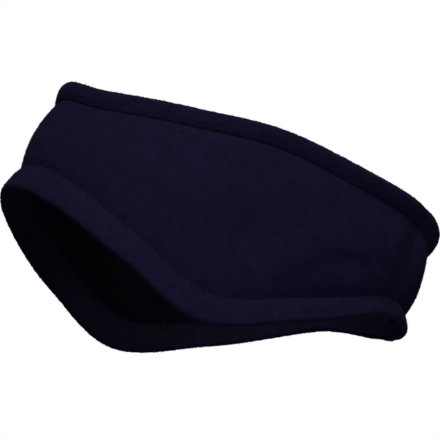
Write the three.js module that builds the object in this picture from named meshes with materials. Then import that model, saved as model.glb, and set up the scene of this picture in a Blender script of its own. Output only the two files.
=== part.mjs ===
import * as THREE from "three";

// A fleece headband in the form that it has on a head: one soft shaped band, low over the
// ears and narrow at the nape, with its upper and lower edges turned in and stitched down.
// All lengths are in millimetres and all angles in degrees.

// Plan of the level band on its outer face at the stitch lines, before it is tipped back
const bandLength = 203;
const bandWidth = 157;
const napeNarrowing = 0.12; // how much narrower the plan grows towards the nape

// Height of the wall from its lower to its upper edge
const foreheadHeight = 61;
const earHeight = 100;
const napeHeight = 50;
const topArch = 15; // rise of the upper edge behind the ears
const wallLean = 3.7; // how far the wall leans in between its lower and upper edge

// Cloth of the single panel and of the two turned edges
const fleeceThickness = 3;
const hemThickness = 5.2;
const stitchedThickness = 4.4; // both layers of a turned edge, pulled together by the thread
const upperHemHeight = 9.4;
const lowerHemHeight = 14.5;
const napeHemHeight = 8.5; // of the lower one at the nape
const upperHemFlare = 3;
const lowerHemFlare = 4;
const napeHemFlare = 4.6; // of both at the nape
const flareCurve = 0.6; // below 1 a turned edge flares most next to its stitches
const browSwell = 3; // how far the panel bulges between the stitch lines
const earSwell = 4.5;
const foldDepth = 2;
const stitchGap = 0.3; // between the panel and each turned edge

// The forehead is worn higher than the nape
const wornTilt = 24.7;

// Fineness of the surface
const stations = 96;
const panelSteps = 8;
const hemSteps = 4;
const foldSteps = 4;

// How the edges run from the forehead (0) over an ear to the nape (180). arch is a share of
// topArch. ear and nape say how far the height has gone over to earHeight and napeHeight,
// and what is left of 1 keeps foreheadHeight.
const edges = [
  { around: 0, arch: -0.06, ear: 0, nape: 0 },
  { around: 30, arch: -0.42, ear: 0.01, nape: 0 },
  { around: 60, arch: -0.12, ear: 0.5, nape: 0 },
  { around: 85, arch: 0.45, ear: 1, nape: 0 },
  { around: 110, arch: 0.7, ear: 0.62, nape: 0.32 },
  { around: 140, arch: 1, ear: 0.17, nape: 0.8 },
  { around: 165, arch: 0.89, ear: 0.08, nape: 0.96 },
  { around: 180, arch: 0.58, ear: 0, nape: 1 },
];

// Soft folds of the wall, on round from the forehead over the left ear. around and wide are
// angles, level and tall are shares of the wall's height there, and depth is a share of
// foldDepth, below zero where the cloth stands out.
const folds = [
  { around: 30, level: 0.52, wide: 6, tall: 0.1, depth: 0.35 },
  { around: 87, level: 0.46, wide: 9, tall: 0.13, depth: 2 },
  { around: 103, level: 0.4, wide: 7, tall: 0.1, depth: -0.6 },
  { around: 117, level: 0.4, wide: 10, tall: 0.08, depth: 0.7 },
  { around: 142, level: 0.5, wide: 4.5, tall: 0.6, depth: 0.9 },
  { around: 153, level: 0.62, wide: 5, tall: 0.2, depth: -0.5 },
  { around: 165, level: 0.45, wide: 5, tall: 0.25, depth: 0.6 },
  { around: 180, level: 0.5, wide: 3, tall: 4, depth: 0.6 }, // the seam at the centre back
  { around: 219, level: 0.5, wide: 5, tall: 0.6, depth: 0.7 },
  { around: 259, level: 0.42, wide: 11, tall: 0.1, depth: 0.7 },
  { around: 283, level: 0.52, wide: 9, tall: 0.12, depth: 0.5 },
  { around: 322, level: 0.5, wide: 8, tall: 0.12, depth: 0.4 },
];

// A smooth curve all round through the rows of the edge table. Both halves are cut alike.
const mirroredEdges = edges
  .slice(0, -1)
  .reverse()
  .map((row) => ({ ...row, around: 360 - row.around }));
const allEdges = [...edges, ...mirroredEdges];
const edgeCurve = new THREE.CubicInterpolant(
  allEdges.map((row) => row.around),
  allEdges.flatMap((row) => [row.arch, row.ear, row.nape]),
  3,
);
edgeCurve.settings = {
  endingStart: THREE.WrapAroundEnding,
  endingEnd: THREE.WrapAroundEnding,
};

// One station of the wall: its place on the plan, the way out of the band, and its edges
function stationAt(around) {
  const angle = THREE.MathUtils.degToRad(around);
  const fullness = 1 + napeNarrowing * Math.cos(angle);
  const along = new THREE.Vector2(
    (bandWidth / 2) * (Math.cos(angle) * fullness - napeNarrowing * Math.sin(angle) ** 2),
    (bandLength / 2) * Math.sin(angle),
  ).normalize();
  const [arch, ear, nape] = edgeCurve.evaluate(around);
  const top = topArch * arch;
  const height = foreheadHeight * (1 - ear - nape) + earHeight * ear + napeHeight * nape;
  const bottom = top - height;
  return {
    around,
    place: new THREE.Vector2(
      (bandWidth / 2) * Math.sin(angle) * fullness,
      (-bandLength / 2) * Math.cos(angle),
    ),
    out: new THREE.Vector2(along.y, -along.x),
    ear,
    nape,
    top,
    bottom,
    upperStitches: top - upperHemHeight,
    lowerStitches: bottom + THREE.MathUtils.lerp(lowerHemHeight, napeHemHeight, nape),
  };
}

// How far the folds push the wall in at one station and share of its height
function foldsAt(around, share) {
  return folds.reduce((sum, fold) => {
    const aside = (around - fold.around) / fold.wide;
    const above = (share - fold.level) / fold.tall;
    return sum + foldDepth * fold.depth * Math.exp(-aside * aside - above * above);
  }, 0);
}

// A point of the wall, from how far it stands out of the plan and its height. Both faces
// of the cloth lean and fold together.
function wallPoint(station, [outward, height]) {
  const share = (height - station.bottom) / (station.top - station.bottom);
  const reach = outward - wallLean * share - foldsAt(station.around, share);
  return [
    station.place.x + station.out.x * reach,
    station.place.y + station.out.y * reach,
    height,
  ];
}

// Even shares from 0 to 1
function shares(count) {
  return Array.from({ length: count + 1 }, (_, i) => i / count);
}

// Section of the panel: up its outer face and down its inner face
function panelSection(station) {
  const low = station.lowerStitches + stitchGap / 2;
  const high = station.upperStitches - stitchGap / 2;
  const swell = THREE.MathUtils.lerp(browSwell, earSwell, station.ear);
  const outer = shares(panelSteps).map((share) => [
    swell * Math.sin(Math.PI * share),
    THREE.MathUtils.lerp(low, high, share),
  ]);
  const inner = outer.map(([outward, height]) => [outward - fleeceThickness, height]);
  return [...outer, ...inner.reverse()];
}

// Section of a turned edge: out from its stitches, round the fold and back on the inside
function hemSection(stitches, edge, flare) {
  const run = edge - stitches;
  const radius = Math.min(hemThickness, Math.abs(run)) / 2;
  const flat = 1 - radius / Math.abs(run);
  const outer = shares(hemSteps).map((share) => [
    flare * (share * flat) ** flareCurve,
    stitches + run * flat * share,
  ]);
  const [lastOut, lastHeight] = outer[hemSteps];
  const fold = shares(foldSteps)
    .slice(1, -1)
    .map((share) => [
      lastOut - radius + radius * Math.cos(Math.PI * share),
      lastHeight + Math.sign(run) * radius * Math.sin(Math.PI * share),
    ]);
  const inner = outer.map(([outward, height], i) => [
    outward - THREE.MathUtils.lerp(stitchedThickness, 2 * radius, Math.min(1, (2 * i) / hemSteps)),
    height,
  ]);
  return [...outer, ...fold, ...inner.reverse()];
}

function upperHemSection(station) {
  const flare = THREE.MathUtils.lerp(upperHemFlare, napeHemFlare, station.nape);
  return hemSection(station.upperStitches + stitchGap / 2, station.top, flare);
}

// Its section runs downwards, so it is turned round to wind the same way as the others
function lowerHemSection(station) {
  const flare = THREE.MathUtils.lerp(lowerHemFlare, napeHemFlare, station.nape);
  return hemSection(station.lowerStitches - stitchGap / 2, station.bottom, flare).reverse();
}

// A closed ring of cloth, swept through every station
function clothRing(name, color, sectionAt) {
  const sections = shares(stations)
    .slice(0, -1)
    .map((share) => {
      const station = stationAt(360 * share);
      return sectionAt(station).map((point) => wallPoint(station, point));
    });
  const points = sections[0].length;
  const index = [];
  for (let i = 0; i < stations; i++) {
    for (let j = 0; j < points; j++) {
      const here = i * points;
      const next = ((i + 1) % stations) * points;
      const up = (j + 1) % points;
      index.push(here + j, next + j, next + up);
      index.push(here + j, next + up, here + up);
    }
  }
  const geometry = new THREE.BufferGeometry();
  geometry.setAttribute("position", new THREE.Float32BufferAttribute(sections.flat(2), 3));
  geometry.setIndex(index);
  geometry.computeVertexNormals();
  const material = new THREE.MeshStandardMaterial({ color, roughness: 0.95, metalness: 0 });
  const mesh = new THREE.Mesh(geometry, material);
  mesh.name = name;
  return mesh;
}

// The band stands with the middle of its forehead's height at the point where a head holds
// it, and tips back about that point.
const band = new THREE.Group();
const pieces = [
  clothRing("band_panel", 0x161328, panelSection),
  clothRing("upper_hem", 0x14112a, upperHemSection),
  clothRing("lower_hem", 0x18152c, lowerHemSection),
];
for (const piece of pieces) {
  piece.position.z = foreheadHeight / 2;
  band.add(piece);
}
band.rotation.x = -THREE.MathUtils.degToRad(wornTilt);

const headband = new THREE.Group();
headband.add(band);

export default headband;
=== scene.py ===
import math

import bpy
import numpy as np
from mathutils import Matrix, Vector, noise


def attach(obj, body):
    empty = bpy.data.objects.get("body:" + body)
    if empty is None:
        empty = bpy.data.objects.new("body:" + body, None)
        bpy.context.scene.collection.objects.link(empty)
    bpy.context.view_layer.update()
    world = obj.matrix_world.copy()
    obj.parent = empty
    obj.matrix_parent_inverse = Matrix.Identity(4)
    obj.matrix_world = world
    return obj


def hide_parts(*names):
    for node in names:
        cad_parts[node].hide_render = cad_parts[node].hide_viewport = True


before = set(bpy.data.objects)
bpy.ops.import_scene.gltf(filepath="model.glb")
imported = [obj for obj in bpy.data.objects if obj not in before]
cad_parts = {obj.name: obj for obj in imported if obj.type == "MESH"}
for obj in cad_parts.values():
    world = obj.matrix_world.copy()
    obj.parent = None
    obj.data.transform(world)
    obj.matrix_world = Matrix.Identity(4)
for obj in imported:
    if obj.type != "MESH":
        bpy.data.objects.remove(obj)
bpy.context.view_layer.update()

# Camera: at the photograph's angle, from the wearer's left and a little below the band,
# far enough away that the near and far sides of the band look almost the same size.
view_azimuth = math.radians(73.8)
view_elevation = math.radians(-7.5)
view_distance = 1.2
picture_centre = Vector((0.0014, -0.0011, 0.0042))
lens_length = 201.4

camera_data = bpy.data.cameras.new("camera")
camera_data.lens = lens_length
camera = bpy.data.objects.new("camera", camera_data)
bpy.context.scene.collection.objects.link(camera)
bpy.context.scene.camera = camera
towards_camera = Vector((
    math.sin(view_azimuth) * math.cos(view_elevation),
    -math.cos(view_azimuth) * math.cos(view_elevation),
    math.sin(view_elevation),
))
camera.location = picture_centre + towards_camera * view_distance
camera.rotation_euler = (-towards_camera).to_track_quat("-Z", "Y").to_euler()

# Studio: a white surround that lights the band softly from above and not from below, with a
# plain pale floor well below it. A broad soft light stands high on the wearer's left, and a
# small weak one on the same side, a little below the band and towards the nape.
floor_depth = -1.5
floor_radius = 3.0
floor_sides = 64
floor_shade = 0.7
light_from_above, light_from_below = 0.35, 0.0
light_begins = -0.2  # where the surround starts to light: 0 is level and -1 straight down
key_place, key_size, key_power = (0.95, -0.35, 0.9), 0.9, 23.5
fill_place, fill_size, fill_power = (1.0, 0.45, -0.16), 0.4, 3.2

bpy.context.scene.view_settings.view_transform = "Standard"
world = bpy.data.worlds.new("surround")
world.use_nodes = True
bpy.context.scene.world = world
world_links = world.node_tree.links
direction = world.node_tree.nodes.new("ShaderNodeTexCoord")
upwards = world.node_tree.nodes.new("ShaderNodeSeparateXYZ")
world_links.new(direction.outputs["Generated"], upwards.inputs["Vector"])
overhead = world.node_tree.nodes.new("ShaderNodeMapRange")
overhead.interpolation_type = "SMOOTHSTEP"
overhead.inputs["From Min"].default_value = light_begins
overhead.inputs["To Min"].default_value = light_from_below
overhead.inputs["To Max"].default_value = light_from_above
world_links.new(upwards.outputs["Z"], overhead.inputs["Value"])
seen = world.node_tree.nodes.new("ShaderNodeLightPath")
brightness = world.node_tree.nodes.new("ShaderNodeMapRange")
brightness.inputs["To Max"].default_value = 1.0
world_links.new(overhead.outputs["Result"], brightness.inputs["To Min"])
world_links.new(seen.outputs["Is Camera Ray"], brightness.inputs["Value"])
background = world.node_tree.nodes["Background"]
background.inputs["Color"].default_value = (1, 1, 1, 1)
world_links.new(brightness.outputs["Result"], background.inputs["Strength"])

bpy.ops.mesh.primitive_circle_add(
    vertices=floor_sides, radius=floor_radius, fill_type="NGON", location=(0, 0, floor_depth))
floor = bpy.context.object
floor.name = "floor"
floor_material = bpy.data.materials.new("pale_floor")
floor_material.use_nodes = True
floor_shader = floor_material.node_tree.nodes["Principled BSDF"]
floor_shader.inputs["Base Color"].default_value = (floor_shade,) * 3 + (1,)
floor_shader.inputs["Roughness"].default_value = 0.9
floor.data.materials.append(floor_material)


def softbox(name, place, size, power):
    """A square area light that faces the band."""
    data = bpy.data.lights.new(name, "AREA")
    data.size = size
    data.energy = power
    light = bpy.data.objects.new(name, data)
    light.location = place
    light.rotation_euler = (-Vector(place)).to_track_quat("-Z", "Y").to_euler()
    bpy.context.scene.collection.objects.link(light)


softbox("key", key_place, key_size, key_power)
softbox("fill", fill_place, fill_size, fill_power)

# Band panel: one layer of thick brushed fleece between the two stitch lines. The cloth is
# knitted and stretches round the head, so it swells between the stitch lines and has only
# soft folds. A seam at the centre back closes the ring.
mm = 0.001
band_length, band_width = 203 * mm, 157 * mm
nape_narrowing = 0.12
forehead_height, ear_height, nape_height = 61 * mm, 100 * mm, 50 * mm
top_arch = 15 * mm
wall_lean = 3.7 * mm
worn_tilt = math.radians(-24.7)
upper_hem_height, lower_hem_height, nape_hem_height = 9.4 * mm, 14.5 * mm, 8.5 * mm
fleece_thickness = 3 * mm
brow_swell, ear_swell = 3 * mm, 4.5 * mm
stitch_gap = 0.05 * mm  # the thread pulls the cloth together, so hardly a gap shows
fold_depth = 2 * mm
shoulder_depth, shoulder_reach = 0.6 * mm, 3 * mm  # how the cloth rolls in at the stitches
tuck_depth, tuck_inset = 1.5 * mm, 0.9 * mm  # the panel's edges run on under the hems
pucker_depth, pucker_reach, pucker_count = 0.15 * mm, 5 * mm, 54
pucker_drift, drift_count = 4, 7  # radians that the puckers wander, and how often
lump_size, panel_lump_height = 1.5 * mm, 0.22 * mm
fine_lump_share, fine_lump_count = 0.5, 2.3  # against the large lumps
stations, outer_rows, inner_rows = 720, 64, 26

# Colours of the brushed cloth. The panel's back gets the darkest colour, which is painted shade for
# the hollow inside the band, not a colour of the cloth itself.
panel_colour, panel_back_painted_shade_colour = (0.0064, 0.0051, 0.0178), (0.0018, 0.0009, 0.0024)
dark_share = 0.72
mottle_scale, mottle_spread = 140, (0.32, 0.68)
tuft_scale, tuft_relief = 1300, 0.4 * mm

# Angle round from the forehead, the upper edge's share of top_arch, and how far the height
# has gone over to ear_height and to nape_height
edge_rows = np.array([
    (0, -0.06, 0, 0),
    (30, -0.42, 0.01, 0),
    (60, -0.12, 0.5, 0),
    (85, 0.45, 1, 0),
    (110, 0.7, 0.62, 0.32),
    (140, 1, 0.17, 0.8),
    (165, 0.89, 0.08, 0.96),
    (180, 0.58, 0, 1),
])
# Angle, level as a share of the height, width as an angle, height as a share, and depth as
# a share of fold_depth, below zero where the cloth stands out. The one at 180 is the seam.
fold_rows = [
    (30, 0.52, 6, 0.1, 0.35),
    (87, 0.46, 9, 0.13, 2),
    (103, 0.4, 7, 0.1, -0.6),
    (117, 0.4, 10, 0.08, 0.7),
    (142, 0.5, 4.5, 0.6, 0.9),
    (153, 0.62, 5, 0.2, -0.5),
    (165, 0.45, 5, 0.25, 0.6),
    (180, 0.5, 3, 4, 0.6),
    (219, 0.5, 5, 0.6, 0.7),
    (259, 0.42, 11, 0.1, 0.7),
    (283, 0.52, 9, 0.12, 0.5),
    (322, 0.5, 8, 0.12, 0.4),
]


def edge_values(around):
    """The three columns of edge_rows on a smooth curve round the whole band."""
    mirrored = edge_rows[-2::-1] * (-1, 1, 1, 1) + (360, 0, 0, 0)
    rows = np.vstack([edge_rows, mirrored])
    before = rows[-2:-1] - (360, 0, 0, 0)
    after = rows[1:2] + (360, 0, 0, 0)
    rows = np.vstack([before, rows, after])
    at, value = rows[:, 0], rows[:, 1:]
    i = np.clip(np.searchsorted(at, around, "right") - 1, 1, len(at) - 3)
    step = at[i + 1] - at[i]
    share = ((around - at[i]) / step)[:, None]
    slope_here = (value[i + 1] - value[i - 1]) / (at[i + 1] - at[i - 1])[:, None]
    slope_next = (value[i + 2] - value[i]) / (at[i + 2] - at[i])[:, None]
    return (
        value[i] * (1 + share ** 2 * (2 * share - 3))
        + value[i + 1] * share ** 2 * (3 - 2 * share)
        + slope_here * step[:, None] * share * (1 - share) ** 2
        + slope_next * step[:, None] * share ** 2 * (share - 1)
    )


class Wall:
    """The stations of the band: their places on the plan, the way out, and both edges."""

    def __init__(self, count):
        self.around = np.arange(count) * 360 / count
        angle = np.radians(self.around)
        fullness = 1 + nape_narrowing * np.cos(angle)
        along_x = band_width / 2 * (
            np.cos(angle) * fullness - nape_narrowing * np.sin(angle) ** 2)
        along_y = band_length / 2 * np.sin(angle)
        length = np.hypot(along_x, along_y)
        self.x = band_width / 2 * np.sin(angle) * fullness
        self.y = -band_length / 2 * np.cos(angle)
        self.out_x, self.out_y = along_y / length, -along_x / length
        arch, ear, nape = edge_values(self.around).T
        self.ear, self.nape = ear, nape
        self.top = top_arch * arch
        self.height = forehead_height * (1 - ear - nape) + ear_height * ear + nape_height * nape
        self.bottom = self.top - self.height
        self.upper_seam = self.top - upper_hem_height
        self.lower_seam = (
            self.bottom + lower_hem_height + (nape_hem_height - lower_hem_height) * nape)

    def points(self, outward, height):
        """Places in the part's frame, from how far out of the plan and how high they are."""
        share = (height - self.bottom) / self.height
        folds = np.zeros_like(share)
        for around, level, wide, tall, depth in fold_rows:
            aside = (self.around - around) / wide
            folds += fold_depth * depth * np.exp(-aside ** 2 - ((share - level) / tall) ** 2)
        to_seam = np.minimum(abs(height - self.lower_seam), abs(self.upper_seam - height))
        angle = np.radians(self.around)
        wave = np.sin(angle * pucker_count + np.sin(angle * drift_count) * pucker_drift)
        folds += pucker_depth * wave * np.exp(-to_seam / pucker_reach)
        reach = outward - wall_lean * share - folds
        x = self.x + self.out_x * reach
        y = self.y + self.out_y * reach
        z = height + forehead_height / 2
        tilted_y = y * math.cos(worn_tilt) - z * math.sin(worn_tilt)
        tilted_z = y * math.sin(worn_tilt) + z * math.cos(worn_tilt)
        return np.stack(np.broadcast_arrays(x, tilted_y, tilted_z), -1)


def shoulder(distance):
    """How far the cloth rolls in at this distance from the stitches."""
    return shoulder_depth * np.exp(-(distance / shoulder_reach) ** 2)


def cloth_ring(name, outer, inner, lump_height, outside, inside):
    """A closed ring through the rows of points of its outer and inner face, with the lumps
    of brushed pile raised on it and a material for each face."""
    sections = np.stack(outer + inner)
    rows, count = sections.shape[:2]
    row, column = np.meshgrid(np.arange(rows), np.arange(count), indexing="ij")
    next_row, next_column = (row + 1) % rows, (column + 1) % count
    faces = np.stack([
        row * count + column,
        row * count + next_column,
        next_row * count + next_column,
        next_row * count + column,
    ], -1).reshape(-1, 4)
    mesh = bpy.data.meshes.new(name)
    mesh.from_pydata(sections.reshape(-1, 3).tolist(), [], faces.tolist())
    mesh.update()
    normals = np.zeros(len(mesh.vertices) * 3)
    mesh.vertices.foreach_get("normal", normals)
    normals = normals.reshape(-1, 3)
    places = sections.reshape(-1, 3)
    lumps = np.array([
        noise.noise(Vector(p) / lump_size)
        + fine_lump_share * noise.noise(Vector(p) / lump_size * fine_lump_count)
        for p in places.tolist()])
    places = places + normals * (lumps * lump_height)[:, None]
    mesh.vertices.foreach_set("co", places.ravel())
    mesh.polygons.foreach_set("use_smooth", [True] * len(mesh.polygons))
    mesh.polygons.foreach_set("material_index", (row.ravel() >= len(outer)).astype(int))
    mesh.materials.append(outside)
    mesh.materials.append(inside)
    mesh.update()
    ring = bpy.data.objects.new(name, mesh)
    bpy.context.scene.collection.objects.link(ring)
    return ring


def fleece(name, colour):
    """Brushed fleece: soft mottled colour, no shine of its own, a short pile that catches
    light at grazing angles, and fine felted bumps."""
    material = bpy.data.materials.new(name)
    material.use_nodes = True
    nodes, links = material.node_tree.nodes, material.node_tree.links
    shader = nodes["Principled BSDF"]
    shader.inputs["Roughness"].default_value = 0.95
    shader.inputs["Specular IOR Level"].default_value = 0.0
    shader.inputs["Sheen Weight"].default_value = 0.02
    shader.inputs["Sheen Roughness"].default_value = 0.6
    shader.inputs["Sheen Tint"].default_value = (0.35, 0.33, 0.6, 1)
    place = nodes.new("ShaderNodeTexCoord")

    mottle = nodes.new("ShaderNodeTexNoise")
    mottle.inputs["Scale"].default_value = mottle_scale
    mottle.inputs["Detail"].default_value = 6
    mottle.inputs["Roughness"].default_value = 0.7
    links.new(place.outputs["Object"], mottle.inputs["Vector"])
    tone = nodes.new("ShaderNodeValToRGB")
    tone.color_ramp.elements[0].position, tone.color_ramp.elements[1].position = mottle_spread
    tone.color_ramp.elements[0].color = [c * dark_share for c in colour] + [1]
    tone.color_ramp.elements[1].color = list(colour) + [1]
    links.new(mottle.outputs["Fac"], tone.inputs["Fac"])
    links.new(tone.outputs["Color"], shader.inputs["Base Color"])

    tufts = nodes.new("ShaderNodeTexNoise")
    tufts.inputs["Scale"].default_value = tuft_scale
    tufts.inputs["Detail"].default_value = 3
    links.new(place.outputs["Object"], tufts.inputs["Vector"])
    bump = nodes.new("ShaderNodeBump")
    bump.inputs["Strength"].default_value = 0.5
    bump.inputs["Distance"].default_value = tuft_relief
    links.new(tufts.outputs["Fac"], bump.inputs["Height"])
    links.new(bump.outputs["Normal"], shader.inputs["Normal"])
    return material


panel_fleece = fleece("panel_fleece", panel_colour)
# The panel's inside face gets painted shade: a colour far darker than the same fleece outside
panel_back_painted_shade = fleece("panel_back_painted_shade", panel_back_painted_shade_colour)
wall = Wall(stations)
low = wall.lower_seam + stitch_gap / 2
high = wall.upper_seam - stitch_gap / 2
swell = brow_swell + (ear_swell - brow_swell) * wall.ear
panel_outside = [wall.points(-tuck_inset, low - tuck_depth)]
for share in np.linspace(0, 1, outer_rows):
    height = low + (high - low) * share
    nearest = np.minimum(height - low, high - height)
    outward = swell * math.sin(math.pi * share) - shoulder(nearest)
    panel_outside.append(wall.points(outward, height))
panel_outside.append(wall.points(-tuck_inset, high + tuck_depth))
panel_inside = [wall.points(tuck_inset - fleece_thickness, high + tuck_depth)]
for share in np.linspace(1, 0, inner_rows):
    height = low + (high - low) * share
    outward = swell * math.sin(math.pi * share) - fleece_thickness
    panel_inside.append(wall.points(outward, height))
panel_inside.append(wall.points(tuck_inset - fleece_thickness, low - tuck_depth))
band_panel = cloth_ring(
    "fleece_panel", panel_outside, panel_inside, panel_lump_height, panel_fleece, panel_back_painted_shade)
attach(band_panel, "root")
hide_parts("band_panel")

# Hems: the fleece is turned to the inside along both edges and stitched down, so each is
# two layers round a soft fold. The lower one is wider and flares more.
hem_thickness, stitched_thickness = 5.2 * mm, 4.4 * mm
upper_hem_flare, lower_hem_flare, nape_hem_flare = 3 * mm, 4 * mm, 4.6 * mm
flare_curve = 0.6  # below 1 a hem flares most next to its stitches
hem_lump_height = 0.25 * mm
hem_rows, fold_steps = 18, 12
hem_colour, hem_back_colour = (0.0064, 0.0051, 0.0175), (0.0075, 0.0054, 0.0135)


def turned_edge(name, stitches, edge, hem_flare):
    """A hem from its stitch line out to the edge, round the fold and back on the inside."""
    flare = hem_flare + (nape_hem_flare - hem_flare) * wall.nape
    run = edge - stitches
    side = np.sign(run[0])
    radius = hem_thickness / 2
    flat = 1 - radius / abs(run)
    outer, inner = [], []
    for share in np.linspace(0, 1, hem_rows):
        outward = flare * (share * flat) ** flare_curve
        height = stitches + run * flat * share
        thickness = stitched_thickness + (hem_thickness - stitched_thickness) * min(1, 2 * share)
        outer.append(wall.points(outward - shoulder(abs(height - stitches)), height))
        inner.append(wall.points(outward - thickness, height))
    last_out = flare * flat ** flare_curve
    last_height = stitches + run * flat
    fold = [
        wall.points(
            last_out - radius + radius * math.cos(angle),
            last_height + side * radius * math.sin(angle))
        for angle in np.linspace(0, math.pi, fold_steps + 1)[1:-1]]
    outer, inner = outer + fold, inner[::-1]
    if side < 0:
        outer.reverse()
        inner.reverse()
    return cloth_ring(name, outer, inner, hem_lump_height, hem_fleece, hem_back)


hem_fleece = fleece("hem_fleece", hem_colour)
hem_back = fleece("hem_back", hem_back_colour)
upper_hem = turned_edge(
    "fleece_upper_hem", wall.upper_seam + stitch_gap / 2, wall.top, upper_hem_flare)
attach(upper_hem, "root")
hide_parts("upper_hem")

lower_hem = turned_edge(
    "fleece_lower_hem", wall.lower_seam - stitch_gap / 2, wall.bottom, lower_hem_flare)
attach(lower_hem, "root")
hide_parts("lower_hem")

# Stitches: one row of needle thread sunk between the panel and each hem on the outside, and
# on the inside the looper thread that crosses the raw edge of each hem in slanting ticks.
thread_thickness = 0.3 * mm
needle_pitch, needle_length = 3.4 * mm, 2.7 * mm
needle_rise, needle_depth = 0.35 * mm, 0.8 * mm
tick_pitch, tick_length = 1.6 * mm, 3 * mm
tick_rise, tick_sink, tick_slant = 1.1 * mm, 0.3 * mm, 0.15
tick_depth = stitched_thickness - tick_sink
arch_steps, thread_sides = 6, 6
needle_colour, looper_colour = (0.0055, 0.0045, 0.014), (0.016, 0.013, 0.027)
twist_scale, twist_dark_share = 2500, 0.6


def thread(name, colour):
    """Twisted sewing thread, as dull as the cloth and nearly as dark."""
    material = bpy.data.materials.new(name)
    material.use_nodes = True
    nodes, links = material.node_tree.nodes, material.node_tree.links
    shader = nodes["Principled BSDF"]
    shader.inputs["Roughness"].default_value = 0.9
    shader.inputs["Specular IOR Level"].default_value = 0.0
    place = nodes.new("ShaderNodeTexCoord")
    twist = nodes.new("ShaderNodeTexNoise")
    twist.inputs["Scale"].default_value = twist_scale
    links.new(place.outputs["Object"], twist.inputs["Vector"])
    tone = nodes.new("ShaderNodeValToRGB")
    tone.color_ramp.elements[0].color = [c * twist_dark_share for c in colour] + [1]
    tone.color_ramp.elements[1].color = list(colour) + [1]
    links.new(twist.outputs["Fac"], tone.inputs["Fac"])
    links.new(tone.outputs["Color"], shader.inputs["Base Color"])
    return material


def new_tree(name, inputs):
    """An empty tree that takes and gives geometry, and the identifiers of its named inputs,
    by which a modifier is given their values."""
    tree = bpy.data.node_groups.new(name, "GeometryNodeTree")
    tree.interface.new_socket("Geometry", in_out="INPUT", socket_type="NodeSocketGeometry")
    tree.interface.new_socket("Geometry", in_out="OUTPUT", socket_type="NodeSocketGeometry")
    ids = {}
    for label, kind in inputs.items():
        made = tree.interface.new_socket(label, in_out="INPUT", socket_type=f"NodeSocket{kind}")
        ids[label] = made.identifier
    return tree, ids


def end_tree(tree, instances, material):
    """Make the instances of a tree real, give them their material and put them out."""
    nodes, links = tree.nodes, tree.links
    real = nodes.new("GeometryNodeRealizeInstances")
    links.new(instances, real.inputs["Geometry"])
    coloured = nodes.new("GeometryNodeSetMaterial")
    links.new(real.outputs["Geometry"], coloured.inputs["Geometry"])
    links.new(material, coloured.inputs["Material"])
    result = nodes.new("NodeGroupOutput")
    links.new(coloured.outputs["Geometry"], result.inputs["Geometry"])


def stitch_tree():
    """Arched stitches at an even pitch along a seam, whose points carry the ways run and out."""
    tree, ids = new_tree("row_of_stitches", {
        "Pitch": "Float", "Length": "Float", "Rise": "Float", "Slant": "Float",
        "Thickness": "Float", "Thread": "Material"})
    nodes, links = tree.nodes, tree.links
    given = nodes.new("NodeGroupInput")

    seam = nodes.new("GeometryNodeMeshToCurve")
    links.new(given.outputs["Geometry"], seam.inputs["Mesh"])
    spaced = nodes.new("GeometryNodeResampleCurve")
    spaced.mode = "LENGTH"
    links.new(seam.outputs["Curve"], spaced.inputs["Curve"])
    links.new(given.outputs["Pitch"], spaced.inputs["Length"])

    def scaled(value, factor):
        times = nodes.new("ShaderNodeMath")
        times.operation = "MULTIPLY"
        times.inputs[1].default_value = factor
        links.new(value, times.inputs[0])
        return times.outputs[0]

    def along(x=None, z=None):
        joined = nodes.new("ShaderNodeCombineXYZ")
        if x is not None:
            links.new(x, joined.inputs["X"])
        if z is not None:
            links.new(z, joined.inputs["Z"])
        return joined.outputs["Vector"]

    arch = nodes.new("GeometryNodeCurveQuadraticBezier")
    arch.inputs["Resolution"].default_value = arch_steps
    links.new(along(x=scaled(given.outputs["Length"], -0.5)), arch.inputs["Start"])
    links.new(along(z=given.outputs["Rise"]), arch.inputs["Middle"])
    links.new(along(x=scaled(given.outputs["Length"], 0.5)), arch.inputs["End"])
    section = nodes.new("GeometryNodeCurvePrimitiveCircle")
    section.inputs["Resolution"].default_value = thread_sides
    links.new(scaled(given.outputs["Thickness"], 0.5), section.inputs["Radius"])
    stitch = nodes.new("GeometryNodeCurveToMesh")
    stitch.inputs["Fill Caps"].default_value = True
    links.new(arch.outputs["Curve"], stitch.inputs["Curve"])
    links.new(section.outputs["Curve"], stitch.inputs["Profile Curve"])

    # A stitch lies along run and arches towards out
    turned = None
    for name, axis, pivot in (("run", "X", "AUTO"), ("out", "Z", "X")):
        way = nodes.new("GeometryNodeInputNamedAttribute")
        way.data_type = "FLOAT_VECTOR"
        way.inputs["Name"].default_value = name
        turn = nodes.new("FunctionNodeAlignRotationToVector")
        turn.axis = axis
        turn.pivot_axis = pivot
        links.new(way.outputs["Attribute"], turn.inputs["Vector"])
        if turned is not None:
            links.new(turned, turn.inputs["Rotation"])
        turned = turn.outputs["Rotation"]

    # Every other stitch slants the other way
    order = nodes.new("GeometryNodeInputIndex")
    odd = nodes.new("ShaderNodeMath")
    odd.operation = "MODULO"
    odd.inputs[1].default_value = 2
    links.new(order.outputs["Index"], odd.inputs[0])
    either_way = nodes.new("ShaderNodeMapRange")
    links.new(odd.outputs[0], either_way.inputs["Value"])
    links.new(scaled(given.outputs["Slant"], -1), either_way.inputs["To Min"])
    links.new(given.outputs["Slant"], either_way.inputs["To Max"])
    slant = nodes.new("FunctionNodeRotateRotation")
    slant.rotation_space = "LOCAL"
    links.new(turned, slant.inputs["Rotation"])
    links.new(along(z=either_way.outputs["Result"]), slant.inputs["Rotate By"])

    placed = nodes.new("GeometryNodeInstanceOnPoints")
    links.new(spaced.outputs["Curve"], placed.inputs["Points"])
    links.new(stitch.outputs["Mesh"], placed.inputs["Instance"])
    links.new(slant.outputs["Rotation"], placed.inputs["Rotation"])
    end_tree(tree, placed.outputs["Instances"], given.outputs["Thread"])
    return tree, ids


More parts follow.
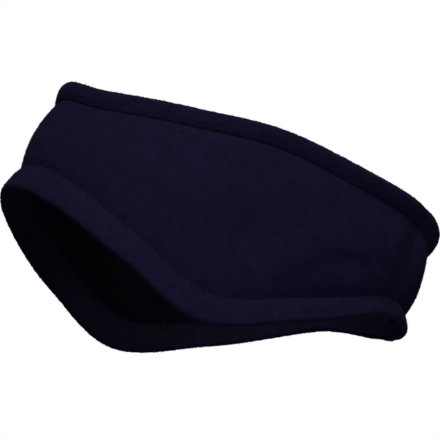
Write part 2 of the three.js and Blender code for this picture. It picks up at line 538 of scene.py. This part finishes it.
def grown(name, source, tree, ids, values):
    """The plain mesh that a tree grows on source, as a new piece."""
    modifier = source.modifiers.new("grown", "NODES")
    modifier.node_group = tree
    for key, value in values.items():
        modifier[ids[key]] = value
    evaluated = source.evaluated_get(bpy.context.evaluated_depsgraph_get())
    mesh = bpy.data.meshes.new_from_object(evaluated)
    source.modifiers.remove(modifier)
    mesh.name = name
    piece = bpy.data.objects.new(name, mesh)
    bpy.context.scene.collection.objects.link(piece)
    return piece


def seam_path(places, run, out):
    """A closed line of points along a seam, with the ways that its stitches run and face."""
    count = len(places)
    mesh = bpy.data.meshes.new("seam_path")
    mesh.from_pydata(places.tolist(), [(i, (i + 1) % count) for i in range(count)], [])
    for name, ways in (("run", run), ("out", out)):
        attribute = mesh.attributes.new(name, "FLOAT_VECTOR", "POINT")
        attribute.data.foreach_set("vector", ways.ravel())
    path = bpy.data.objects.new("seam_path", mesh)
    bpy.context.scene.collection.objects.link(path)
    return path


def unit(ways):
    """The same ways, each of length 1."""
    return ways / np.linalg.norm(ways, axis=-1, keepdims=True)


needle_thread = thread("needle_thread", needle_colour)
looper_thread = thread("looper_thread", looper_colour)
row_of_stitches, stitch_ids = stitch_tree()
for edge, seam_height in (("upper", wall.upper_seam), ("lower", wall.lower_seam)):
    for face, outward, pitch, length, rise, slant, material in (
            ("needle", -needle_depth, needle_pitch, needle_length, needle_rise, 0.0, needle_thread),
            ("looper", -tick_depth, tick_pitch, tick_length, tick_rise, tick_slant, looper_thread)):
        places = wall.points(outward, seam_height)
        forward = unit(np.roll(places, -1, 0) - np.roll(places, 1, 0))
        outer = unit(wall.points(outward + mm, seam_height) - places)
        across = unit(np.cross(outer, forward))
        outer = unit(np.cross(forward, across))
        path = seam_path(places, forward if face == "needle" else across,
                         outer if face == "needle" else -outer)
        row = grown(f"{edge}_{face}_stitches", path, row_of_stitches, stitch_ids, {
            "Pitch": pitch, "Length": length, "Rise": rise, "Slant": slant,
            "Thickness": thread_thickness, "Thread": material})
        bpy.data.objects.remove(path)
        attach(row, "root")

# Pile: the fleece is brushed on both faces, so short fibres stand up all over it in every
# direction. They show most along the outline.
pile_height, pile_thickness = 0.55 * mm, 0.14 * mm
pile_lean, pile_turn = 0.7, 6  # most lean either way, and the turn as a multiple of it
smallest_tuft, largest_tuft = 0.5, 1.2
tuft_sides = 3
tufts_per_square_metre = 700000


def pile_tree():
    """Short tapered tufts scattered over a piece, each leaning its own way."""
    tree, ids = new_tree("brushed_pile", {
        "Density": "Float", "Height": "Float", "Thickness": "Float", "Lean": "Float",
        "Seed": "Int", "Fleece": "Material"})
    nodes, links = tree.nodes, tree.links
    given = nodes.new("NodeGroupInput")
    scattered = nodes.new("GeometryNodeDistributePointsOnFaces")
    links.new(given.outputs["Geometry"], scattered.inputs["Mesh"])
    links.new(given.outputs["Density"], scattered.inputs["Density"])
    links.new(given.outputs["Seed"], scattered.inputs["Seed"])

    tuft = nodes.new("GeometryNodeMeshCone")
    tuft.inputs["Vertices"].default_value = tuft_sides
    tuft.inputs["Radius Top"].default_value = 0
    links.new(given.outputs["Height"], tuft.inputs["Depth"])
    links.new(given.outputs["Thickness"], tuft.inputs["Radius Bottom"])

    lean = nodes.new("FunctionNodeRandomValue")
    lean.data_type = "FLOAT_VECTOR"
    for side, limit in ((-1, "Min"), (1, "Max")):
        most = nodes.new("ShaderNodeVectorMath")
        most.operation = "SCALE"
        most.inputs[0].default_value = (side, side, side * pile_turn)
        links.new(given.outputs["Lean"], most.inputs["Scale"])
        links.new(most.outputs["Vector"], lean.inputs[limit])
    links.new(given.outputs["Seed"], lean.inputs["Seed"])
    leaning = nodes.new("FunctionNodeRotateRotation")
    leaning.rotation_space = "LOCAL"
    links.new(scattered.outputs["Rotation"], leaning.inputs["Rotation"])
    links.new(lean.outputs["Value"], leaning.inputs["Rotate By"])

    size = nodes.new("FunctionNodeRandomValue")
    size.inputs[2].default_value = smallest_tuft
    size.inputs[3].default_value = largest_tuft
    links.new(given.outputs["Seed"], size.inputs["Seed"])
    placed = nodes.new("GeometryNodeInstanceOnPoints")
    links.new(scattered.outputs["Points"], placed.inputs["Points"])
    links.new(tuft.outputs["Mesh"], placed.inputs["Instance"])
    links.new(leaning.outputs["Rotation"], placed.inputs["Rotation"])
    links.new(size.outputs[1], placed.inputs["Scale"])
    end_tree(tree, placed.outputs["Instances"], given.outputs["Fleece"])
    return tree, ids


brushed_pile, pile_ids = pile_tree()
for seed, (cloth, material) in enumerate((
        (band_panel, panel_fleece), (upper_hem, hem_fleece), (lower_hem, hem_fleece))):
    pile = grown(f"{cloth.name}_pile", cloth, brushed_pile, pile_ids, {
        "Density": tufts_per_square_metre, "Height": pile_height,
        "Thickness": pile_thickness, "Lean": pile_lean, "Seed": seed, "Fleece": material})
    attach(pile, "root")
